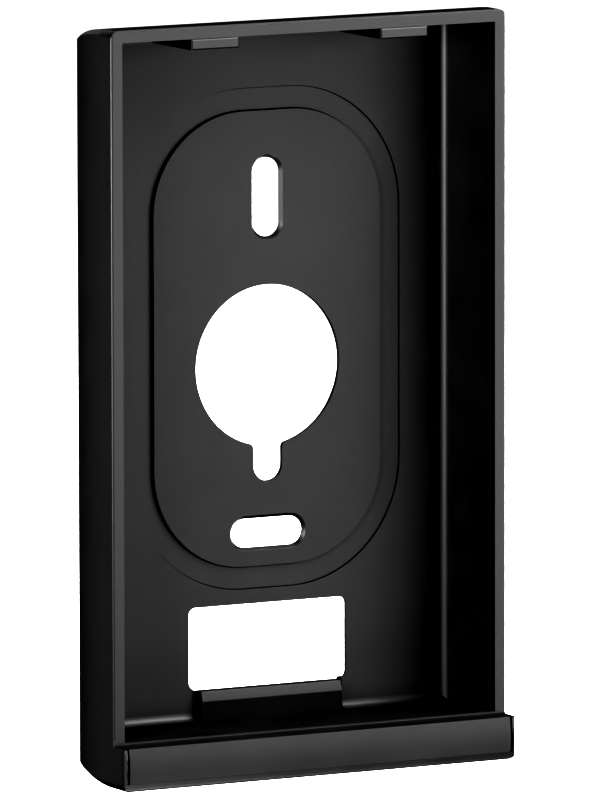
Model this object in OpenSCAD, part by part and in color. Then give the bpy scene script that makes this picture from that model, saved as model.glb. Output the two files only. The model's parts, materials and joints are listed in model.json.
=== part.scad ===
// Wall-mount housing of a video doorbell: an open tray that is screwed to the wall and holds the
// doorbell between two lugs, a ledge and a sprung latch.
// Millimetres. X right, Y towards the wall, Z up. The origin is on the axis of the cable hole, in
// the plane of the housing's rear face.

/* [Housing] */
// Outer width of the housing
body_w = 79; // [77:0.5:82]
// Height of the top face above the cable hole's axis
top_h = 63; // [62:0.5:66]
// Depth of the underside below the cable hole's axis
bottom_h = 71.2; // [71:0.2:74]
// Depth from the rim to the rear face
body_d = 18.4; // [18:0.2:20]
// Thickness of the side walls at the rim
side_t = 2.2; // [2:0.1:2.4]
// Thickness of the top wall at the rim
top_t = 2.2; // [2:0.1:2.4]
// Height of the inner floor above the underside
floor_h = 8.3; // [8.2:0.1:9]
// Thickness of the back wall
back_t = 2; // [2:0.1:2.4]
// Radius of the outer corners seen from the front
corner_r = 1.5; // [1:0.1:2]
// Rounding left on the outer corners at the rear face
rear_corner_r = 0.5; // [0.4:0.1:0.8]
// Chamfer of the rim's outer edge
rim_chamfer = 0.3; // [0.1:0.1:0.5]
// Radius of the inner fillet along the back wall
inner_fillet = 1.55; // [1:0.05:1.8]

/* [Bow of the outer faces] */
// Distance from the rim to where the side and top faces begin to curve inward
bow_start = 2; // [1:0.5:4]
// Radius of the curve of the side and top faces
bow_r = 49; // [46:1:60]
// Distance from the rim forward to where the underside begins to curve upward
under_bow_lead = 1; // [0:0.5:2]
// Radius of the curve of the underside
under_bow_r = 90; // [80:1:100]
// Radius of the curve of the inner side and top faces
inner_bow_r = 85; // [80:1:120]

/* [Ledge] */
// Distance the ledge stands forward of the rim
ledge_d = 4; // [3.4:0.2:4.4]
// Height of the ledge's top face above the underside
ledge_h = 7.7; // [7.4:0.1:8]
// Radius of the ledge's convex front face
ledge_front_r = 16; // [14:1:24]
// Radius of the ledge's vertical front edges
ledge_edge_r = 1; // [0.6:0.1:1.2]
// Radius of the ledge's lower front edge
ledge_under_r = 0.8; // [0.4:0.1:1]
// Radius of the fillet between the rim and the ledge's top face
ledge_fillet = 0.4; // [0.2:0.1:0.6]
// Thickness of each end cheek
cheek_t = 0.8; // [0.8:0.1:1.2]
// Thickness of the sill below the front strip
sill_t = 1.4; // [1.2:0.1:1.8]
// Thickness of the front strip
strip_t = 1.9; // [1.6:0.1:2.2]
// Joint at each end of the front strip
strip_end_gap = 0.35; // [0.1:0.05:0.4]
// Radius of the studs on the back of the front strip
strip_stud_r = 1.2; // [1:0.1:1.4]
// Length of the studs on the back of the front strip
strip_stud_l = 3; // [2:0.5:4]
// Spacing of the studs on the back of the front strip
strip_stud_pitch = 30; // [24:1:33]

/* [Lugs] */
// Width of each lug
lug_w = 9.5; // [8:0.5:11]
// Height of each lug below the top wall
lug_h = 1.95; // [1.6:0.05:2.4]
// Distance of each lug's centre from the middle
lug_x = 18.9; // [17:0.1:21]
// Distance the lugs stand forward of the rim
lug_proud = 0.15; // [0:0.05:0.3]
// Chamfer round the front face of each lug
lug_chamfer = 0.25; // [0.1:0.05:0.4]
// Radius of the pegs on top of each lug
lug_peg_r = 1.1; // [0.9:0.1:1.3]
// Height of the pegs on top of each lug
lug_peg_h = 0.8; // [0.6:0.1:0.9]
// Distance between the two pegs of a lug
lug_peg_pitch = 7; // [6:0.5:7.5]
// Distance from the rim to the middle of a lug's pegs
lug_peg_d = 6.2; // [5.8:0.2:6.6]

/* [Mounting plate] */
// Width of the mounting plate
plate_w = 45.7; // [44:0.1:47]
// Height of the mounting plate
plate_h = 81.5; // [80:0.5:83]
// Height of the plate's centre above the cable hole's axis
plate_z = 4.8; // [4:0.1:5.4]
// Corner radius of the mounting plate
plate_r = 18; // [16:0.5:20]
// Thickness of the mounting plate
plate_t = 1.35; // [1.3:0.05:1.6]
// Thickness of the housing web behind the mounting plate
web_t = 1; // [0.9:0.1:1.1]
// Radius of the cable hole
cable_r = 14.45; // [13:0.05:15]
// Half width of the cable hole's notch
notch_r = 2.9; // [2.4:0.1:3.2]
// Depth of the notch's lower end below the cable hole's axis
notch_end = 20.8; // [19.5:0.1:21.5]
// Radius of the edges between the cable hole and its notch
notch_fillet = 0.9; // [0.5:0.1:1.2]
// Thickness of the plate's lip round the cable hole
cable_lip_t = 0.85; // [0.6:0.05:1]
// Distance between the centres of the two screw slots
slot_pitch = 60; // [58:1:62]
// Clear width of the screw slots
slot_w = 5.2; // [4.5:0.1:5.6]
// Clear length of the screw slots
slot_l = 14.2; // [12:0.1:15]
// Distance the slots' countersink widens them at the front
slot_sink_w = 0.55; // [0.3:0.05:0.7]
// Depth of the slots' countersink
slot_sink_d = 0.65; // [0.4:0.05:0.8]
// Distance the openings behind the plate are cut back from its openings
relief = 0.9; // [0.6:0.1:1.2]
// Radius of the plate's stakes
stake_r = 1.2; // [1:0.1:1.4]
// Radius of the stakes' heads
stake_head_r = 1.9; // [1.7:0.1:2.2]
// Thickness of the stakes' heads
stake_head_t = 0.45; // [0.4:0.05:0.45]
// Distance of each stake from the plate's upright centre line
stake_x = 15.5; // [14:0.5:16]
// Distance of each stake from the plate's level centre line
stake_z = 27; // [25:0.5:28]

/* [Seal and gasket] */
// Width of the seal round the mounting plate
seal_w = 4.1; // [3.5:0.1:4.5]
// Thickness of the seal round the mounting plate
seal_t = 0.65; // [0.4:0.05:0.8]
// Joint between the mounting plate and its seal
seal_gap = 0.1; // [0.05:0.05:0.2]
// Width of the wall gasket
gasket_w = 2.2; // [1.8:0.1:2.4]
// Depth of the wall gasket in the rear face
gasket_t = 1; // [0.8:0.1:1]
// Distance from the rear face's outline to the wall gasket
gasket_edge = 1.4; // [1.2:0.1:1.8]

/* [Window] */
// Width of the window in the back wall
window_w = 31.7; // [30.5:0.1:33]
// Height of the window
window_h = 14.75; // [13:0.25:15.5]
// Depth of the window's lower edge below the cable hole's axis
window_low = 57.4; // [57:0.1:58]
// Corner radius of the window
window_r = 1.3; // [0.8:0.1:2]
// Thickness of the land round the window
window_land = 0.5; // [0.4:0.1:0.8]

/* [Latch] */
// Width of the latch
latch_w = 28.2; // [26:0.1:28.6]
// Width of the opening that the latch stands in
latch_slot_w = 30.1; // [29.4:0.1:30.4]
// Distance the latch's ridge stands forward of the rear face
latch_front = 4.1; // [3.8:0.1:4.3]
// Thickness of the latch's arm
latch_t = 2.2; // [2:0.1:2.2]
// Depth of the latch's ridge below the cable hole's axis
latch_ridge = 59.85; // [59.5:0.05:60.5]
// Distance the latch's upper edge lies behind its ridge
latch_slope = 0.7; // [0.4:0.1:1]
// Distance of the latch's pivot from the rear face
pivot_d = 3; // [2.9:0.1:3.1]
// Depth of the latch's pivot below the cable hole's axis
pivot_h = 66; // [65.9:0.1:66.1]
// Radius of the latch's barrel
barrel_r = 1.4; // [1.2:0.1:1.4]
// Width of the latch's barrel
barrel_w = 18; // [14:0.5:18]
// Radius of the pivot pin
pin_r = 0.6; // [0.5:0.05:0.65]
// Length of the pivot pin
pin_l = 34.8; // [34:0.2:35]
// Radial clearance of the pivot pin
pin_clear = 0.05; // [0.03:0.01:0.08]
// Thickness of the housing web behind the latch
latch_web_t = 0.6; // [0.5:0.05:0.6]
// Distance the web behind the latch stops short of the window's lower edge
latch_web_drop = 0.4; // [0.2:0.1:0.6]

/* [Latch springs] */
// Outer radius of each spring's coil
spring_r = 1.3; // [1.1:0.05:1.3]
// Radius of the spring wire
wire_r = 0.2; // [0.15:0.01:0.22]
// Length of each spring's coil
coil_l = 4.2; // [3:0.2:4.4]

/* [Keeper] */
// Width of the latch keeper
keeper_w = 50; // [46:1:54]
// Height of the latch keeper
keeper_h = 4.3; // [4:0.1:4.4]
// Thickness of the latch keeper
keeper_t = 0.95; // [0.9:0.05:1]
// Distance of each keeper screw from the middle
keeper_screw_x = 21.3; // [20:0.1:22]
// Radius of the keeper screws' shanks
screw_r = 0.9; // [0.8:0.05:1]
// Length of the keeper screws
screw_l = 5.5; // [4:0.5:7]
// Radius of the keeper screws' heads
screw_head_r = 1.65; // [1.5:0.05:1.75]

/* [Hidden] */

$fn = 96;
bow_fn = 480;
eps = 0.02;
over = 1;
play = 0.05;
half = 0.5;
quarter_turn = 90;
eighth_turn = 45;
two_sides = [-1, 1];

rim_y = -body_d;
ledge_y = rim_y - ledge_d;
half_w = body_w / 2;
bottom_z = -bottom_h;
floor_z = bottom_z + floor_h;
ledge_z = bottom_z + ledge_h;
ceiling_z = top_h - top_t;
inner_half = half_w - side_t;
bow_y = rim_y + bow_start;
under_bow_y = rim_y - under_bow_lead;
cut_band = 6;
body_reach = 200;

// Inset of an arc of radius r at a distance d from its start
function arc_inset(r, d) = r - sqrt(r * r - d * d);

rear_inset = arc_inset(bow_r, -bow_y);
inner_inset = arc_inset(inner_bow_r, -back_t - bow_y);
inner_slope = asin((-back_t - bow_y) / inner_bow_r);
fillet_x = inner_half - inner_inset - inner_fillet * (1 / cos(inner_slope) - tan(inner_slope));
fillet_z = ceiling_z - inner_inset - inner_fillet * (1 / cos(inner_slope) - tan(inner_slope));

// Radius of the arc that starts at depth y and meets the rear face, on the diagonal, between two insets
function corner_bow_r(y, side_inset, end_inset) =
    let (t = (side_inset + end_inset) / sqrt(2) + (rear_corner_r - corner_r) * (sqrt(2) - 1))
    (y * y + t * t) / (2 * t);

corner_cut = corner_r * (sqrt(2) - 1);
top_corner_bow_r = corner_bow_r(bow_y, rear_inset, rear_inset);
under_corner_y = (bow_y + under_bow_y) / 2;
under_corner_bow_r = corner_bow_r(under_corner_y, rear_inset, arc_inset(under_bow_r, -under_bow_y));

strip_half = half_w - cheek_t - strip_end_gap;
strip_low = bottom_z + sill_t;
strip_stud_z = (strip_low + ledge_z) / 2;
strip_back = ledge_y + strip_t;
stud_places = [-strip_stud_pitch, 0, strip_stud_pitch];

ledge_arc_y = ledge_y + ledge_front_r;
ledge_arc_z = (bottom_z + ledge_z) / 2;
under_arc_z = bottom_z + ledge_under_r;
under_arc_reach = ledge_front_r - ledge_under_r;
under_arc_y = ledge_arc_y - sqrt(pow(under_arc_reach, 2) - pow(ledge_arc_z - under_arc_z, 2));

lug_low = ceiling_z - lug_h;
lug_back = -back_t - inner_fillet;
lug_front = rim_y - lug_proud;
lug_peg_y = rim_y + lug_peg_d;

seat_y = -web_t;
plate_y = seat_y - plate_t;
recess_w = plate_w + 2 * seal_w;
recess_h = plate_h + 2 * seal_w;
recess_r = plate_r + seal_w;
slot_r = slot_w / 2;
slot_land = 0.1;
slot_z = slot_pitch / 2;
notch_z = notch_r - notch_end;

window_z = -window_low + window_h / 2;
latch_top = -window_low - 3 * play;
pivot_y = -pivot_d;
pivot_z = -pivot_h;
latch_y = -latch_front;
latch_back = latch_y + latch_t;
barrel_gap = 0.2;
arm_low = pivot_z + barrel_r + 3 * play;
chamber_low = pivot_z - barrel_r - barrel_gap;
chamber_high = pivot_z + barrel_r + barrel_gap;
chamber_front = pivot_y - barrel_r - 3 * barrel_gap;
chamber_half = latch_slot_w / 2;
seat_half = pin_l / 2 + barrel_gap;
spring_x = barrel_w / 2 + 2 * barrel_gap;
leg_y = latch_back + play / 2 + wire_r;
leg_reach = 2.5;
leg_top = arm_low + leg_reach;
keeper_z = pivot_z + 3 * play;
finger_t = 2.2;
finger_h = 1;
rebate_t = 1;
keeper_back = keeper_t - rebate_t;
drive_d = 1;
drive_w = 0.45;

module box_between(low, high) {
    translate(low) cube(high - low);
}

module mirrored() {
    mirror([1, 0, 0]) children();
}

module both_sides() {
    children();
    mirrored() children();
}

// Turns a drawing in the plane of the front view into a solid between two depths
module through(y_front, y_back) {
    translate([0, y_back, 0]) rotate([quarter_turn, 0, 0]) linear_extrude(y_back - y_front) children();
}

// Turns a drawing in the side view's plane (depth, height) into a solid of a width
module across(width) {
    rotate([quarter_turn, 0, quarter_turn]) linear_extrude(width, center = true) children();
}

// A cylinder along X
module rod_x(r, l) {
    rotate([0, quarter_turn, 0]) cylinder(r = r, h = l, center = true);
}

// A cylinder along Y between two depths
module rod_y(r, y_front, y_back) {
    translate([0, y_back, 0]) rotate([quarter_turn, 0, 0]) cylinder(r = r, h = y_back - y_front);
}

module rounded_rect(w, h, r) {
    square([w, h - 2 * r], center = true);
    square([w - 2 * r, h], center = true);
    for (x = two_sides, z = two_sides) {
        translate([x * (w / 2 - r), z * (h / 2 - r)]) circle(r);
    }
}

// A slot with round ends that runs along X
module slot_shape(l, r) {
    square([l - 2 * r, 2 * r], center = true);
    for (x = two_sides) {
        translate([x * (l / 2 - r), 0]) circle(r);
    }
}

// Puts what it is given, which runs along X, at the level lower slot and the upright upper one
module at_slots() {
    translate([0, 0, -slot_z]) children();
    translate([0, 0, slot_z]) rotate([0, quarter_turn, 0]) children();
}

module slot_cut(grow, y_front, y_back) {
    through(y_front, y_back) slot_shape(slot_l + 2 * grow, slot_r + grow);
}

// The countersink of a slot: a tapered groove with a cone at each end
module slot_countersink() {
    straight = slot_l - 2 * slot_r;
    wide_r = slot_r + slot_sink_w;
    across(straight) polygon([
        [plate_y, -wide_r],
        [plate_y, wide_r],
        [plate_y + slot_sink_d, slot_r],
        [plate_y + slot_sink_d, -slot_r]
    ]);
    for (x = two_sides) {
        translate([x * straight / 2, plate_y + slot_sink_d, 0]) rotate([quarter_turn, 0, 0])
            cylinder(r1 = slot_r, r2 = wide_r, h = slot_sink_d);
    }
}

// The cable hole with its notch, grown by a distance, with the edges between them rounded
module cable_shape(grow) {
    big = cable_r + grow;
    small = notch_r + grow;
    fx = small + notch_fillet;
    fz = -sqrt((big + notch_fillet) * (big + notch_fillet) - fx * fx);
    touch = big / (big + notch_fillet);
    circle(big);
    translate([-small, notch_z]) square([2 * small, -notch_z]);
    translate([0, notch_z]) circle(small);
    both_sides() difference() {
        polygon([
            [0, 0],
            [0, fz],
            [fx, fz],
            [fx * touch, fz * touch]
        ]);
        translate([fx, fz]) circle(notch_fillet);
    }
}

// What a bowed face removes: the space beyond an arc that starts at a depth; the face points along +X
module bow_cut(face_x, start_y, r, reach) {
    difference() {
        translate([face_x - cut_band, start_y, -reach / 2]) cube([cut_band + over, over - start_y, reach]);
        translate([face_x - r, start_y, 0]) cylinder(r = r, h = reach + over, center = true, $fn = bow_fn);
    }
}

module outer_cuts() {
    rotate([0, -quarter_turn, 0]) bow_cut(top_h, bow_y, bow_r, body_reach);
    rotate([0, quarter_turn, 0]) bow_cut(bottom_h, under_bow_y, under_bow_r, body_reach);
    both_sides() {
        bow_cut(half_w, bow_y, bow_r, body_reach);
        translate([half_w, 0, top_h]) rotate([0, -eighth_turn, 0])
            bow_cut(-corner_cut, bow_y, top_corner_bow_r, 4 * cut_band);
        translate([half_w, 0, bottom_z]) rotate([0, eighth_turn, 0])
            bow_cut(-corner_cut, under_corner_y, under_corner_bow_r, 4 * cut_band);
    }
}

// The chamfer along the rim's outer edges
module rim_chamfers() {
    side = rim_chamfer * sqrt(2);
    both_sides() translate([half_w, rim_y, (top_h + ledge_z) / 2])
        rotate([0, 0, eighth_turn]) cube([side, side, top_h - ledge_z], center = true);
    translate([0, rim_y, top_h]) rotate([eighth_turn, 0, 0]) cube([body_w, side, side], center = true);
}

// What the ledge's rounded front removes: in front of the convex face and outside the round edges
module ledge_cuts() {
    long = body_w + 4 * over;
    tall = ledge_h + 4 * over;
    difference() {
        box_between(
            [-half_w - over, ledge_y - over, bottom_z - over],
            [half_w + over, rim_y, ledge_z + over]
        );
        translate([0, ledge_arc_y, ledge_arc_z]) rod_x(ledge_front_r, long);
    }
    both_sides() difference() {
        translate([half_w, ledge_y, ledge_arc_z])
            cube([2 * ledge_edge_r, 2 * ledge_edge_r, ledge_h + 2 * over], center = true);
        translate([half_w - ledge_edge_r, ledge_y + ledge_edge_r, ledge_arc_z])
            cylinder(r = ledge_edge_r, h = tall, center = true);
    }
    across(long) difference() {
        polygon([
            [under_arc_y, under_arc_z],
            [under_arc_y, bottom_z - over],
            [ledge_y - over, bottom_z - over],
            [
                ledge_arc_y - (ledge_arc_y - under_arc_y) * (ledge_front_r + over) / under_arc_reach,
                ledge_arc_z - (ledge_arc_z - under_arc_z) * (ledge_front_r + over) / under_arc_reach
            ]
        ]);
        translate([under_arc_y, under_arc_z]) circle(ledge_under_r);
    }
}

module outer_block() {
    difference() {
        intersection() {
            translate([0, 0, (top_h + bottom_z) / 2])
                through(ledge_y, 0) rounded_rect(body_w, top_h + bottom_h, corner_r);
            union() {
                box_between([-half_w, rim_y, bottom_z], [half_w, 0, top_h]);
                box_between([-half_w, ledge_y, bottom_z], [half_w, 0, ledge_z]);
                ledge_fillet_strip();
            }
        }
        outer_cuts();
        ledge_cuts();
        rim_chamfers();
    }
}

// The small fillet where the rim meets the ledge's top face
module ledge_fillet_strip() {
    difference() {
        box_between([-half_w, rim_y - ledge_fillet, ledge_z], [half_w, rim_y, ledge_z + ledge_fillet]);
        translate([0, rim_y - ledge_fillet, ledge_z + ledge_fillet]) rod_x(ledge_fillet, body_w + over);
    }
}

module tray_space() {
    difference() {
        box_between([-inner_half, rim_y - over, floor_z], [inner_half, -back_t, ceiling_z]);
        both_sides() bow_cut(inner_half, bow_y, inner_bow_r, body_reach);
        rotate([0, -quarter_turn, 0]) bow_cut(ceiling_z, bow_y, inner_bow_r, body_reach);
        inner_fillets();
    }
}

module inner_fillets() {
    fillet_y = -back_t - inner_fillet;
    difference() {
        box_between([-half_w, fillet_y, floor_z - over], [half_w, 0, floor_z + inner_fillet]);
        translate([0, fillet_y, floor_z + inner_fillet]) rod_x(inner_fillet, body_reach);
    }
    difference() {
        box_between([-half_w, fillet_y, fillet_z], [half_w, 0, top_h]);
        translate([0, fillet_y, fillet_z]) rod_x(inner_fillet, body_reach);
    }
    both_sides() difference() {
        box_between([fillet_x, fillet_y, bottom_z], [half_w, 0, top_h]);
        translate([fillet_x, fillet_y, 0]) cylinder(r = inner_fillet, h = body_reach, center = true);
    }
}

// The seat of the mounting plate and of the seal round it, and the openings behind the plate
module plate_seat() {
    translate([0, 0, plate_z]) through(-back_t - over, seat_y) rounded_rect(recess_w, recess_h, recess_r);
    through(seat_y - over, over) cable_shape(2 * relief);
    at_slots() slot_cut(relief, seat_y - over, over);
    for (x = two_sides, z = two_sides) {
        translate([x * stake_x, 0, plate_z + z * stake_z]) {
            rod_y(stake_r + play, seat_y - over, over);
            rod_y(stake_head_r + 2 * play, -stake_head_t - play, over);
        }
    }
}

module window_cut() {
    translate([0, 0, window_z]) through(-back_t - over, over) rounded_rect(window_w, window_h, window_r);
    translate([0, 0, window_z + half])
        through(-back_t + window_land, over)
            rounded_rect(window_w + 2 * window_r, window_h + 2 * half, window_r);
}

module latch_spaces() {
    box_between(
        [-chamber_half, latch_y - play, chamber_high - over],
        [chamber_half, -latch_web_t, -window_low + eps]
    );
    box_between(
        [-chamber_half, latch_y - play, -window_low - latch_web_drop],
        [chamber_half, over, -window_low + eps]
    );
    box_between([-chamber_half, chamber_front, chamber_low], [chamber_half, over, chamber_high]);
    box_between(
        [-seat_half, pivot_y, pivot_z - pin_r - eps],
        [seat_half, over, pivot_z + pin_r + eps]
    );
    translate([0, pivot_y, pivot_z]) rod_x(pin_r + eps, 2 * seat_half);
    box_between(
        [-keeper_w / 2 - play, -rebate_t, keeper_z - keeper_h / 2 - play],
        [keeper_w / 2 + play, over, keeper_z + keeper_h / 2 + play]
    );
    both_sides() translate([keeper_screw_x, 0, keeper_z]) rod_y(screw_r + play, -screw_l - half, over);
}

module strip_seat() {
    box_between(
        [-half_w + cheek_t, ledge_y - over, strip_low],
        [half_w - cheek_t, strip_back + eps, ledge_z + over]
    );
    for (x = stud_places) {
        translate([x, 0, strip_stud_z])
            rod_y(strip_stud_r + play, strip_back - over, strip_back + strip_stud_l + half);
    }
}

module lug_seats() {
    for (x = two_sides, y = two_sides) {
        translate([x * lug_x, lug_peg_y + y * lug_peg_pitch / 2, lug_low])
            cylinder(r = lug_peg_r + play, h = lug_h + lug_peg_h + play);
    }
}

// The path of the wall gasket: an upturned U, open at the bottom so water can drain
module gasket_path(grow) {
    out_x = half_w - rear_inset - gasket_edge + grow;
    out_z = top_h - rear_inset - gasket_edge + grow;
    low_z = keeper_z + keeper_h;
    in_x = out_x - gasket_w - 2 * grow;
    in_z = out_z - gasket_w - 2 * grow;
    difference() {
        translate([-out_x, low_z - grow]) square([2 * out_x, out_z - low_z + grow]);
        translate([-in_x, low_z - over]) square([2 * in_x, in_z - low_z + over]);
    }
}

module housing() {
    color([0.05, 0.05, 0.055]) difference() {
        outer_block();
        tray_space();
        plate_seat();
        window_cut();
        latch_spaces();
        strip_seat();
        lug_seats();
        through(-gasket_t, over) gasket_path(play);
    }
}

module mounting_plate() {
    color([0.06, 0.06, 0.065]) {
        difference() {
            translate([0, 0, plate_z]) through(plate_y, seat_y) rounded_rect(plate_w, plate_h, plate_r);
            through(plate_y - over, seat_y + over) cable_shape(0);
            through(plate_y + cable_lip_t, seat_y + over) cable_shape(relief);
            at_slots() {
                slot_countersink();
                slot_cut(0, plate_y - over, seat_y + over);
                slot_cut(relief, plate_y + slot_sink_d + slot_land, seat_y + over);
            }
        }
        for (x = two_sides, z = two_sides) {
            translate([x * stake_x, 0, plate_z + z * stake_z]) {
                rod_y(stake_r, seat_y - half, -eps);
                rod_y(stake_head_r, -stake_head_t, -eps);
            }
        }
    }
}

module plate_seal() {
    color([0.04, 0.04, 0.042]) difference() {
        translate([0, 0, plate_z])
            through(seat_y - seal_t, seat_y)
                rounded_rect(recess_w - 2 * play, recess_h - 2 * play, recess_r - play);
        translate([0, 0, plate_z])
            through(seat_y - seal_t - over, seat_y + over)
                rounded_rect(plate_w + 2 * seal_gap, plate_h + 2 * seal_gap, plate_r + seal_gap);
    }
}

// One lug on the right-hand side, its top face shaped to the bowed ceiling
module lug() {
    c = lug_chamfer;
    difference() {
        translate([lug_x, 0, lug_low]) linear_extrude(lug_h - play) polygon([
            [-lug_w / 2, lug_front + c],
            [-lug_w / 2 + c, lug_front],
            [lug_w / 2 - c, lug_front],
            [lug_w / 2, lug_front + c],
            [lug_w / 2, lug_back],
            [-lug_w / 2, lug_back]
        ]);
        across(body_w) polygon([
            [lug_front - over, lug_low - over],
            [lug_front + c + over, lug_low - over],
            [lug_front - over, lug_low + c + over]
        ]);
        across(body_w) polygon([
            [lug_front - over, ceiling_z + over],
            [lug_front + c + over, ceiling_z + over],
            [lug_front - over, ceiling_z - c - over]
        ]);
        rotate([0, -quarter_turn, 0]) bow_cut(ceiling_z - play, bow_y, inner_bow_r, body_reach);
    }
    for (y = two_sides) {
        translate([lug_x, lug_peg_y + y * lug_peg_pitch / 2, lug_low + lug_h / 2])
            cylinder(r = lug_peg_r, h = lug_h / 2 + lug_peg_h);
    }
}

module lug_left() {
    color([0.09, 0.09, 0.095]) mirrored() lug();
}

module lug_right() {
    color([0.09, 0.09, 0.095]) lug();
}

module ledge_strip() {
    color([0.07, 0.07, 0.075]) {
        difference() {
            box_between([-strip_half, ledge_y, strip_low + eps], [strip_half, strip_back, ledge_z]);
            ledge_cuts();
        }
        for (x = stud_places) {
            translate([x, 0, strip_stud_z])
                rod_y(strip_stud_r, strip_back - half, strip_back + strip_stud_l);
        }
    }
}

module latch() {
    color([0.08, 0.08, 0.085]) difference() {
        union() {
            across(latch_w) polygon([
                [latch_y, arm_low],
                [latch_y, -latch_ridge],
                [latch_y + latch_slope, latch_top],
                [latch_back, latch_top],
                [latch_back, arm_low]
            ]);
            across(barrel_w) polygon([
                [latch_y, arm_low + half],
                [latch_y, pivot_z + barrel_r * half],
                [pivot_y, pivot_z],
                [latch_back, pivot_z + barrel_r * half],
                [latch_back, arm_low + half]
            ]);
            translate([0, pivot_y, pivot_z]) rod_x(barrel_r, barrel_w);
        }
        translate([0, pivot_y, pivot_z]) rod_x(pin_r + pin_clear, latch_w);
    }
}

module latch_pin() {
    color([0.6, 0.6, 0.62]) translate([0, pivot_y, pivot_z]) rod_x(pin_r, pin_l);
}

// The spring on the right-hand side: coil space, the leg behind the latch and the leg on the keeper
module latch_spring() {
    difference() {
        translate([spring_x + coil_l / 2, pivot_y, pivot_z]) rod_x(spring_r, coil_l);
        translate([spring_x + coil_l / 2, pivot_y, pivot_z]) rod_x(spring_r - 2 * wire_r, coil_l + over);
    }
    translate([spring_x + 2 * wire_r, leg_y, pivot_z]) cylinder(r = wire_r, h = leg_top - pivot_z);
    translate([spring_x + coil_l - 2 * wire_r, 0, pivot_z - spring_r + wire_r])
        rod_y(wire_r, pivot_y, -rebate_t - play);
}

module latch_spring_left() {
    color([0.55, 0.55, 0.57]) mirrored() latch_spring();
}

module latch_spring_right() {
    color([0.55, 0.55, 0.57]) latch_spring();
}

module latch_keeper() {
    color([0.07, 0.07, 0.075]) difference() {
        union() {
            box_between(
                [-keeper_w / 2, -rebate_t, keeper_z - keeper_h / 2],
                [keeper_w / 2, keeper_back, keeper_z + keeper_h / 2]
            );
            both_sides() box_between(
                [seat_half - finger_t + play, pivot_y + pin_r + play, pivot_z - half * finger_h],
                [seat_half - play, -rebate_t + half, pivot_z + half * finger_h]
            );
        }
        both_sides() translate([keeper_screw_x, 0, keeper_z]) {
            rod_y(screw_r + 2 * play, -2 * rebate_t, over);
            screw_seat(2 * play);
        }
    }
}

// The cone under a screw head, with its top in the plane of the keeper's rear face
module screw_seat(grow) {
    translate([0, keeper_back + grow, 0]) rotate([quarter_turn, 0, 0])
        cylinder(r1 = screw_head_r + grow, r2 = screw_r, h = screw_head_r - screw_r + grow);
}

module keeper_screw() {
    difference() {
        union() {
            screw_seat(0);
            rod_y(screw_r, -screw_l, keeper_back - half * (screw_head_r - screw_r));
        }
        translate([0, keeper_back, 0]) {
            cube([2 * screw_r, drive_d, drive_w], center = true);
            cube([drive_w, drive_d, 2 * screw_r], center = true);
        }
    }
}

module keeper_screws() {
    color([0.62, 0.62, 0.64]) both_sides() translate([keeper_screw_x, 0, keeper_z]) keeper_screw();
}

module wall_gasket() {
    color([0.03, 0.03, 0.03]) through(-gasket_t, 0) gasket_path(0);
}

housing();
mounting_plate();
plate_seal();
lug_left();
lug_right();
ledge_strip();
latch();
latch_pin();
latch_spring_left();
latch_spring_right();
latch_keeper();
keeper_screws();
wall_gasket();
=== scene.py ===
"""The wall-mount housing of a video doorbell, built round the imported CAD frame."""
import json
import math

import bmesh
import bpy
from mathutils import Matrix, Vector


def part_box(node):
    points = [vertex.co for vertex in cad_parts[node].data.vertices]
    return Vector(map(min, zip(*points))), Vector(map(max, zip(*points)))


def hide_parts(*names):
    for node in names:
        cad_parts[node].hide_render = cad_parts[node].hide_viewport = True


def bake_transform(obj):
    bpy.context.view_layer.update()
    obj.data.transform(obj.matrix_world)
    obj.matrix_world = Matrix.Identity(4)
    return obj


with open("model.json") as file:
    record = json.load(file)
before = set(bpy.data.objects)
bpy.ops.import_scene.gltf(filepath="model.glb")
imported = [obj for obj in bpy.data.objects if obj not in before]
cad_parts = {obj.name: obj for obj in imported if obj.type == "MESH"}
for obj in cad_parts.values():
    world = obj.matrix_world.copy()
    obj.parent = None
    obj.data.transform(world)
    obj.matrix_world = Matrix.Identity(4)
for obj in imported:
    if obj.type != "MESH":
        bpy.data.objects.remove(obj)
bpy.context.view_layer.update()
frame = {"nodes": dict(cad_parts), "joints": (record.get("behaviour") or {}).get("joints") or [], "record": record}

IMAGE_LONG_SIDE = 800
MM = 0.001

scene = bpy.context.scene
record = frame["record"]

# ---------------------------------------------------------------- places on the object
UP = (0, 0, 1)
FRONT = (0, -1, 0)
LEFT = (-1, 0, 0)
LEDGE_HEIGHT = 9 * MM
LEDGE_REACH = 4 * MM
OBJECT_MIDDLE = Vector((0, -9 * MM, -4 * MM))
housing_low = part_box("housing")[0]
ledge_top = housing_low.z + LEDGE_HEIGHT
rim_y = housing_low.y + LEDGE_REACH

# ---------------------------------------------------------------- camera
CAMERA_AZIMUTH = math.radians(-28.36)
CAMERA_ELEVATION = math.radians(7.55)
CAMERA_ROLL = math.radians(-0.117)
CAMERA_DISTANCE = 2380.7 * MM
CAMERA_FOCAL_PX = 13484
CAMERA_REACH = 100
SENSOR = 36.0
AIM_X = -2.74 * MM
AIM_UP = -4.28 * MM

# ---------------------------------------------------------------- noise
NOISE_LOW = 0.3
NOISE_HIGH = 0.7

# ---------------------------------------------------------------- black plastic
PLASTIC_TONE = 0.012
SEAL_TONE = 0.013
TONE_LOW = 0.8
TONE_HIGH = 1.2
GRAIN = 0.16 * MM
GRAIN_DEPTH = 0.01 * MM
GRAIN_STRENGTH = 0.35
MOTTLE = 9 * MM
SWELL_DEPTH = 0.012 * MM
SWELL_STRENGTH = 0.25
WALL_ROUGH = 0.48
RIM_ROUGH = 0.31
LATCH_ROUGH = 0.44
DULL_ROUGH = 0.8
SHEEN_SPREAD = 0.02
PLASTIC_GLOSS = 0.5
DULL_GLOSS = 0.12
LEVEL_LIMIT = 0.97
RIM_LIMIT = 0.9
FRONT_LIMIT = 0.99
EDGE_LIMIT = 0.3
RIM_BAND = 0.15 * MM
LIP = 1 * MM

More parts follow.
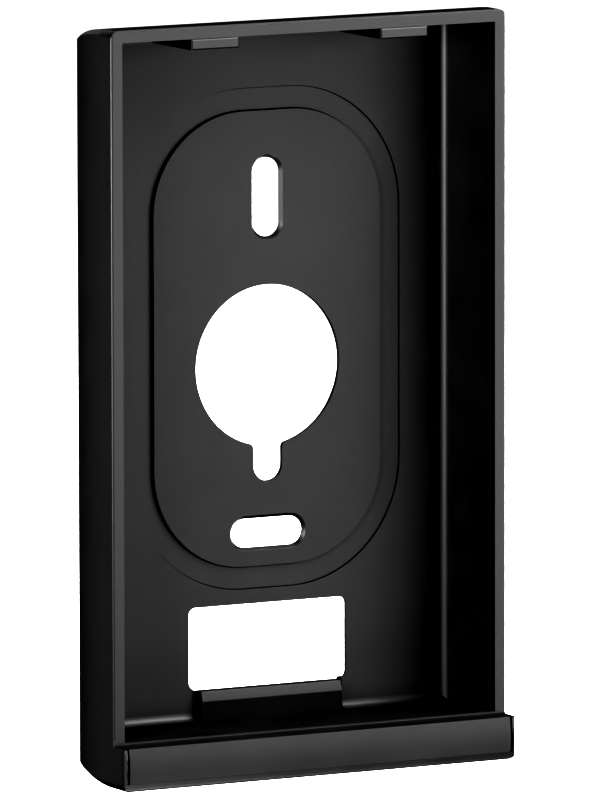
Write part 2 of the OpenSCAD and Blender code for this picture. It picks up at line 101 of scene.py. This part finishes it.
# ---------------------------------------------------------------- foam and steel
FOAM_DARK = (0.009, 0.009, 0.009)
FOAM_LIGHT = (0.016, 0.016, 0.0165)
FOAM_ROUGH = (0.62, 0.8)
FOAM_MOTTLE = 3 * MM
PORE = 0.35 * MM
PORE_DEPTH = 0.05 * MM
PORE_STRENGTH = 0.5
STEEL_DARK = (0.46, 0.46, 0.47)
STEEL_LIGHT = (0.6, 0.6, 0.6)
STEEL_ROUGH = (0.22, 0.4)
STEEL_HAZE = 1.5 * MM
DRAWN_LINE = 0.12 * MM
DRAWN_ALONG_X = (0.08, 1, 1)
DRAWN_DEPTH = 0.006 * MM
DRAWN_STRENGTH = 0.4

# ---------------------------------------------------------------- pieces
OWN_FINISH = {
    "lug_left": "lug_plastic",
    "lug_right": "lug_plastic",
    "ledge_strip": "strip_plastic",
    "wall_gasket": "gasket_foam",
}
ROUNDED = {
    "housing": 0.07 * MM,
    "mounting_plate": 0.05 * MM,
    "plate_seal": 0.1 * MM,
    "lug_left": 0.09 * MM,
    "lug_right": 0.09 * MM,
    "ledge_strip": 0.02 * MM,
    "latch": 0.08 * MM,
    "latch_keeper": 0.08 * MM,
}
EDGE_ANGLE = math.radians(28)
EDGE_SEGMENTS = 3
WELD_DISTANCE = 0.002 * MM
FLAT_ANGLE = math.radians(0.6)

# ---------------------------------------------------------------- springs
SPRINGS = ("latch_spring_left", "latch_spring_right")
WIRE_RADIUS = 0.2 * MM
WIRE_SECTIONS = 12
WIRE_INSET = WIRE_RADIUS / 8
SPRING_TURNS = 7
SPRING_ROUND = 28
SPRING_LEG_ROWS = 16
SPRING_REST_ROWS = 4

# ---------------------------------------------------------------- floor and print
FLOOR_HALF = 40.0
FLOOR_GLOW = 1.05
FLOOR_DARK = (0.9, 0.9, 0.9)
FLOOR_LIGHT = (0.93, 0.93, 0.93)
FLOOR_ROUGH = (0.85, 0.95)
FLOOR_TOOTH = 30 * MM
FLOOR_DEPTH = 0.05 * MM
FLOOR_STRENGTH = 0.1
PRINT_GAMMA = 0.5
PRINT_BLACK = 0.058

# ---------------------------------------------------------------- lights
# name, azimuth and elevation in degrees, distance, width, height, radiance
LIGHTS = [
    ("main", 30, 1, 0.57, 0.33, 0.38, 8.3),
    ("right", 55, -5, 0.6, 0.22, 0.45, 6),
    ("upper_right", 52, 31, 0.6, 0.22, 0.45, 13),
    ("high_front", 38, 46, 0.6, 0.3, 0.2, 29),
    ("high_right", 56, 58, 0.6, 0.3, 0.2, 18),
    ("side_right", 84, 10, 0.6, 0.22, 0.22, 12),
    ("left_front", -58, 9, 0.3, 0.1, 0.15, 72),
    ("left_near", -30, -10, 0.6, 0.2, 0.4, 8),
    ("edge_left", -120, 0, 0.6, 0.3, 0.3, 1.6),
    ("behind_left", -150, -8, 0.6, 0.3, 0.3, 1.4),
    ("back_right", 130, -15, 0.6, 0.3, 0.4, 20),
    ("low", 15, -46, 0.6, 0.3, 0.3, 12),
    ("behind_top", 180, 30, 0.6, 0.3, 0.3, 2.5),
    ("under", 15, -72, 0.6, 0.3, 0.3, 26),
]


def direction(azimuth, elevation):
    """The unit vector towards a place round the object: azimuth 0 is in front and 90 to the right."""
    return Vector((
        math.sin(azimuth) * math.cos(elevation),
        -math.cos(azimuth) * math.cos(elevation),
        math.sin(elevation),
    ))


def add_camera():
    """A long lens at the front left, a little above the object, aimed at the rim's plane."""
    aim = Vector((AIM_X, rim_y, AIM_UP))
    back = direction(CAMERA_AZIMUTH, CAMERA_ELEVATION)
    data = bpy.data.cameras.new("camera")
    data.sensor_width = SENSOR
    data.lens = CAMERA_FOCAL_PX / IMAGE_LONG_SIDE * SENSOR
    data.clip_end = CAMERA_REACH
    camera = bpy.data.objects.new("camera", data)
    scene.collection.objects.link(camera)
    turn = (-back).to_track_quat("-Z", "Y").to_matrix().to_4x4()
    roll = Matrix.Rotation(CAMERA_ROLL, 4, "Z")
    camera.matrix_world = Matrix.Translation(aim + back * CAMERA_DISTANCE) @ turn @ roll
    scene.camera = camera


# ---------------------------------------------------------------- lighting
def add_light(name, azimuth, elevation, distance, width, height, radiance):
    """A soft panel facing the object's middle, given by its direction and its brightness."""
    towards = direction(math.radians(azimuth), math.radians(elevation))
    data = bpy.data.lights.new(name, "AREA")
    data.shape = "RECTANGLE"
    data.size = width
    data.size_y = height
    data.energy = radiance * math.pi * width * height
    light = bpy.data.objects.new(name, data)
    light.location = OBJECT_MIDDLE + towards * distance
    light.rotation_mode = "QUATERNION"
    light.rotation_quaternion = (-towards).to_track_quat("-Z", "Y")
    light.visible_camera = False
    scene.collection.objects.link(light)


def add_world():
    """A white surround, left out of the object's reflections."""
    world = bpy.data.worlds.new("world")
    world.use_nodes = True
    background = world.node_tree.nodes["Background"]
    background.inputs["Color"].default_value = (1, 1, 1, 1)
    background.inputs["Strength"].default_value = 1.0
    world.cycles_visibility.diffuse = False
    world.cycles_visibility.glossy = False
    scene.world = world


def set_print():
    """The photo's strong contrast and deep blacks."""
    view = scene.view_settings
    view.view_transform = "Standard"
    view.gamma = PRINT_GAMMA
    view.use_curve_mapping = True
    view.curve_mapping.black_level = (PRINT_BLACK, PRINT_BLACK, PRINT_BLACK)
    view.curve_mapping.update()


# ---------------------------------------------------------------- materials
class Shader:
    """A node material under construction: a principled shader and helpers to feed it."""

    def __init__(self, name, metallic=0.0):
        self.material = bpy.data.materials.new(name)
        self.material.use_nodes = True
        self.tree = self.material.node_tree
        self.base = self.tree.nodes["Principled BSDF"]
        self.base.inputs["Metallic"].default_value = metallic
        coordinates = self.tree.nodes.new("ShaderNodeTexCoord")
        self.place = coordinates.outputs["Object"]
        self.normal = coordinates.outputs["Normal"]

    def noise(self, size, detail=3.0, stretch=None):
        """Noise whose features are about size across, optionally drawn out along some axes."""
        node = self.tree.nodes.new("ShaderNodeTexNoise")
        node.inputs["Scale"].default_value = 1 / size
        node.inputs["Detail"].default_value = detail
        source = self.place
        if stretch is not None:
            mapping = self.tree.nodes.new("ShaderNodeMapping")
            mapping.inputs["Scale"].default_value = stretch
            self.tree.links.new(source, mapping.inputs["Vector"])
            source = mapping.outputs["Vector"]
        self.tree.links.new(source, node.inputs["Vector"])
        return node.outputs["Fac"]

    def cells(self, size):
        """The distance to the nearest of many scattered points, about size apart."""
        node = self.tree.nodes.new("ShaderNodeTexVoronoi")
        node.inputs["Scale"].default_value = 1 / size
        self.tree.links.new(self.place, node.inputs["Vector"])
        return node.outputs["Distance"]

    def spread(self, value, low, high, start=NOISE_LOW, end=NOISE_HIGH):
        """A value mapped to the range from low to high."""
        node = self.tree.nodes.new("ShaderNodeMapRange")
        node.inputs["From Min"].default_value = start
        node.inputs["From Max"].default_value = end
        node.inputs["To Min"].default_value = low
        node.inputs["To Max"].default_value = high
        self.tree.links.new(value, node.inputs["Value"])
        return node.outputs["Result"]

    def wander(self, value, rough):
        """A roughness that wanders a little either side of a level with a value."""
        return self.spread(value, rough - SHEEN_SPREAD, rough + SHEEN_SPREAD)

    def calculate(self, operation, first, second):
        """The result of a math node; its second input is another node's output or a number."""
        node = self.tree.nodes.new("ShaderNodeMath")
        node.operation = operation
        self.tree.links.new(first, node.inputs[0])
        if isinstance(second, (int, float)):
            node.inputs[1].default_value = second
        else:
            self.tree.links.new(second, node.inputs[1])
        return node.outputs["Value"]

    def coordinate(self, axis):
        """The piece's own coordinate along an axis."""
        split = self.tree.nodes.new("ShaderNodeSeparateXYZ")
        self.tree.links.new(self.place, split.inputs["Vector"])
        return split.outputs[axis]

    def below(self, axis, place):
        """1 where a coordinate is less than place, and 0 elsewhere."""
        return self.calculate("LESS_THAN", self.coordinate(axis), place)

    def above(self, axis, place):
        """1 where a coordinate is more than place, and 0 elsewhere."""
        return self.calculate("GREATER_THAN", self.coordinate(axis), place)

    def facing(self, axis, limit):
        """1 where the piece's surface faces more than limit towards its own axis, and 0 elsewhere."""
        towards = self.tree.nodes.new("ShaderNodeVectorMath")
        towards.operation = "DOT_PRODUCT"
        towards.inputs[1].default_value = axis
        self.tree.links.new(self.normal, towards.inputs[0])
        return self.calculate("GREATER_THAN", towards.outputs["Value"], limit)

    def both(self, first, second):
        """1 where two masks are both 1, and 0 elsewhere."""
        return self.calculate("MULTIPLY", first, second)

    def either(self, first, second):
        """1 where at least one of two masks is 1, and 0 elsewhere."""
        return self.calculate("MAXIMUM", first, second)

    def choose(self, mask, off, on):
        """One value where a mask is 0 and another where it is 1."""
        node = self.tree.nodes.new("ShaderNodeMix")
        self.tree.links.new(mask, node.inputs["Factor"])
        self.tree.links.new(off, node.inputs["A"])
        self.tree.links.new(on, node.inputs["B"])
        return node.outputs["Result"]

    def feed(self, value, socket):
        """A value linked to one of the principled shader's sockets."""
        self.tree.links.new(value, self.base.inputs[socket])

    def colour(self, value, dark, light):
        """The base colour, wandering between two colours with a value."""
        node = self.tree.nodes.new("ShaderNodeValToRGB")
        first, last = node.color_ramp.elements
        first.position = NOISE_LOW
        first.color = (*dark, 1)
        last.position = NOISE_HIGH
        last.color = (*light, 1)
        self.tree.links.new(value, node.inputs["Fac"])
        self.feed(node.outputs["Color"], "Base Color")

    def bump(self, value, depth, strength, before=None):
        """A surface relief depth deep, laid over an earlier one if there is one."""
        node = self.tree.nodes.new("ShaderNodeBump")
        node.inputs["Distance"].default_value = depth
        node.inputs["Strength"].default_value = strength
        self.tree.links.new(value, node.inputs["Height"])
        if before is not None:
            self.tree.links.new(before, node.inputs["Normal"])
        self.feed(node.outputs["Normal"], "Normal")
        return node.outputs["Normal"]


def moulded_black(name, rough, tone=PLASTIC_TONE, grain_scale=1, relief=1, rim=False, dull=None):
    """Black moulded plastic with fine spark grain, faint mottling and an uneven sheen.

    With rim, front faces near the rim's plane are polished and edges that face left are worn.
    With dull, a function that makes a mask, the faces under the mask are left without gloss.
    """
    shader = Shader(name)
    mottle = shader.noise(MOTTLE, detail=4.0)
    fine = shader.noise(GRAIN * grain_scale, detail=2.0)
    shader.colour(mottle, [tone * TONE_LOW] * 3, [tone * TONE_HIGH] * 3)
    sheen = shader.wander(mottle, rough)
    if rim:
        front = shader.below("Y", rim_y + RIM_BAND)
        polished = shader.both(front, shader.facing(FRONT, RIM_LIMIT))
        sheen = shader.choose(polished, sheen, shader.wander(mottle, RIM_ROUGH))
        edge = shader.both(front, shader.facing(LEFT, EDGE_LIMIT))
        worn = shader.both(edge, shader.above("Z", ledge_top))
        sheen = shader.choose(worn, sheen, shader.wander(mottle, DULL_ROUGH))
    if dull is not None:
        mask = dull(shader)
        sheen = shader.choose(mask, sheen, shader.wander(mottle, DULL_ROUGH))
        shader.feed(shader.spread(mask, PLASTIC_GLOSS, DULL_GLOSS, 0, 1), "Specular IOR Level")
    shader.feed(sheen, "Roughness")
    swell = shader.bump(mottle, SWELL_DEPTH, SWELL_STRENGTH)
    shader.bump(fine, GRAIN_DEPTH * relief, GRAIN_STRENGTH, swell)
    return shader.material


def floor_mask(shader):
    """The cavity's floor, the ledge's level top and the lip between them."""
    lip = shader.both(shader.below("Y", rim_y + LIP), shader.facing(UP, EDGE_LIMIT))
    level = shader.facing(UP, LEVEL_LIMIT)
    return shader.both(shader.below("Z", ledge_top), shader.either(lip, level))


def front_mask(shader):
    """The faces that look straight forward."""
    return shader.facing(FRONT, FRONT_LIMIT)


def gasket_foam():
    """Black closed-cell foam rubber: matt, with small open cells at the surface."""
    shader = Shader("gasket_foam")
    mottle = shader.noise(FOAM_MOTTLE)
    pores = shader.cells(PORE)
    shader.colour(mottle, FOAM_DARK, FOAM_LIGHT)
    shader.feed(shader.spread(mottle, *FOAM_ROUGH), "Roughness")
    shader.bump(pores, PORE_DEPTH, PORE_STRENGTH)
    return shader.material


def drawn_steel():
    """Bright stainless wire and bar: fine lines drawn along X and a faint haze."""
    shader = Shader("drawn_steel", metallic=1.0)
    lines = shader.noise(DRAWN_LINE, stretch=DRAWN_ALONG_X)
    haze = shader.noise(STEEL_HAZE)
    shader.colour(haze, STEEL_DARK, STEEL_LIGHT)
    shader.feed(shader.spread(lines, *STEEL_ROUGH), "Roughness")
    shader.bump(lines, DRAWN_DEPTH, DRAWN_STRENGTH)
    return shader.material


def floor_sheet():
    """White board with a faint tooth, glowing so that it reads as white."""
    shader = Shader("floor_sheet")
    tooth = shader.noise(FLOOR_TOOTH)
    shader.colour(tooth, FLOOR_DARK, FLOOR_LIGHT)
    shader.feed(shader.spread(tooth, *FLOOR_ROUGH), "Roughness")
    shader.bump(tooth, FLOOR_DEPTH, FLOOR_STRENGTH)
    shader.base.inputs["Emission Color"].default_value = (1, 1, 1, 1)
    shader.base.inputs["Emission Strength"].default_value = FLOOR_GLOW
    return shader.material


def add_finishes():
    """One material for each kind of surface."""
    return {
        "housing_plastic": moulded_black("housing_plastic", WALL_ROUGH, rim=True, dull=floor_mask),
        "strip_plastic": moulded_black("strip_plastic", WALL_ROUGH, dull=floor_mask),
        "lug_plastic": moulded_black("lug_plastic", RIM_ROUGH, rim=True),
        "plate_plastic": moulded_black("plate_plastic", WALL_ROUGH),
        "latch_plastic": moulded_black(
            "latch_plastic", LATCH_ROUGH, grain_scale=0.5, relief=0.5, dull=front_mask
        ),
        "seal_rubber": moulded_black("seal_rubber", WALL_ROUGH, tone=SEAL_TONE, grain_scale=2),
        "gasket_foam": gasket_foam(),
        "steel": drawn_steel(),
    }


# ---------------------------------------------------------------- pieces
def round_edges(piece, radius):
    """Fine moulding radii on a piece's sharp edges, and smooth shading between them."""
    weld = piece.modifiers.new("weld", "WELD")
    weld.merge_threshold = WELD_DISTANCE
    flat = piece.modifiers.new("flat faces", "DECIMATE")
    flat.decimate_type = "DISSOLVE"
    flat.angle_limit = FLAT_ANGLE
    bevel = piece.modifiers.new("edge radius", "BEVEL")
    bevel.width = radius
    bevel.segments = EDGE_SEGMENTS
    bevel.limit_method = "ANGLE"
    bevel.angle_limit = EDGE_ANGLE
    bevel.miter_outer = "MITER_ARC"
    bevel.use_clamp_overlap = True
    bevel.harden_normals = False
    bevel.face_strength_mode = "FSTR_AFFECTED"
    normals = piece.modifiers.new("flat normals", "WEIGHTED_NORMAL")
    normals.keep_sharp = False
    normals.use_face_influence = True
    for polygon in piece.data.polygons:
        polygon.use_smooth = True


def sweep(centres, radius, sections):
    """A round wire along a line of points, as a closed mesh with flat ends."""
    mesh = bmesh.new()
    rings = []
    ahead = (centres[1] - centres[0]).normalized()
    across = ahead.orthogonal().normalized()
    for index, centre in enumerate(centres):
        before = centres[max(index - 1, 0)]
        after = centres[min(index + 1, len(centres) - 1)]
        tangent = (after - before).normalized()
        across = (across - tangent * across.dot(tangent)).normalized()
        up = tangent.cross(across)
        ring = []
        for section in range(sections):
            turn = 2 * math.pi * section / sections
            ring.append(mesh.verts.new(centre + radius * (across * math.cos(turn) + up * math.sin(turn))))
        rings.append(ring)
    for near, far in zip(rings, rings[1:]):
        for section in range(sections):
            following = (section + 1) % sections
            mesh.faces.new((near[section], near[following], far[following], far[section]))
    mesh.faces.new(reversed(rings[0]))
    mesh.faces.new(rings[-1])
    bmesh.ops.recalc_face_normals(mesh, faces=mesh.faces)
    return mesh


def hinge_place():
    """The latch hinge's place at rest."""
    for joint in frame["joints"]:
        if joint["name"] == "latch_pivot":
            return Vector(joint["pos_m"])
    raise ValueError("no latch_pivot joint in the frame")


def spring_line(low, high, pin, coil_radius):
    """A torsion spring's centre line: down its upper leg, round the pin, and back to the keeper."""
    side = 1 if high.x > 0 else -1
    start = side * (min(abs(low.x), abs(high.x)) + 2 * WIRE_RADIUS)
    end = side * (max(abs(low.x), abs(high.x)) - 2 * WIRE_RADIUS)
    leg_end = high.z - WIRE_INSET
    centres = []
    for step in range(SPRING_LEG_ROWS):
        down = (leg_end - pin.z) * step / SPRING_LEG_ROWS
        centres.append(Vector((start, pin.y + coil_radius, leg_end - down)))
    steps = SPRING_TURNS * SPRING_ROUND + SPRING_ROUND // 4
    for step in range(steps + 1):
        turn = 2 * math.pi * step / SPRING_ROUND
        along = start + (end - start) * step / steps
        ring_y = pin.y + coil_radius * math.cos(turn)
        centres.append(Vector((along, ring_y, pin.z - coil_radius * math.sin(turn))))
    last = centres[-1]
    for step in range(1, SPRING_REST_ROWS + 1):
        reach = (high.y - WIRE_INSET - last.y) * step / SPRING_REST_ROWS
        centres.append(last + Vector((0, reach, 0)))
    return centres


def wire_spring(name):
    """A torsion spring wound round the latch pin, in place of the part's own mesh."""
    low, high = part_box(name)
    pin = hinge_place()
    coil_radius = pin.z - low.z - WIRE_RADIUS
    centres = spring_line(low, high, pin, coil_radius)
    mesh = sweep(centres, WIRE_RADIUS, WIRE_SECTIONS)
    data = bpy.data.meshes.new("wound_" + name)
    mesh.to_mesh(data)
    mesh.free()
    data.shade_smooth()
    data.materials.append(finishes["steel"])
    spring = bpy.data.objects.new("wound_" + name, data)
    scene.collection.objects.link(spring)
    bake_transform(spring)
    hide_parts(name)


def add_floor():
    """A plain pale sheet under the object, left out of its reflections."""
    mesh = bmesh.new()
    corners = [(-1, -1), (1, -1), (1, 1), (-1, 1)]
    mesh.faces.new([mesh.verts.new((x * FLOOR_HALF, y * FLOOR_HALF, housing_low.z)) for x, y in corners])
    data = bpy.data.meshes.new("floor")
    mesh.to_mesh(data)
    mesh.free()
    data.materials.append(floor_sheet())
    floor = bpy.data.objects.new("floor", data)
    scene.collection.objects.link(floor)
    floor.visible_glossy = False
    floor.visible_diffuse = False


# ---------------------------------------------------------------- build
add_camera()
add_floor()
for light in LIGHTS:
    add_light(*light)
add_world()
set_print()

finishes = add_finishes()
slots = {part["node"]: part["material_slot"] for part in record["subparts"]}
for name, node in frame["nodes"].items():
    node.data.materials.clear()
    node.data.materials.append(finishes[OWN_FINISH.get(name, slots[name])])
for name, radius in ROUNDED.items():
    round_edges(frame["nodes"][name], radius)
for name in SPRINGS:
    wire_spring(name)
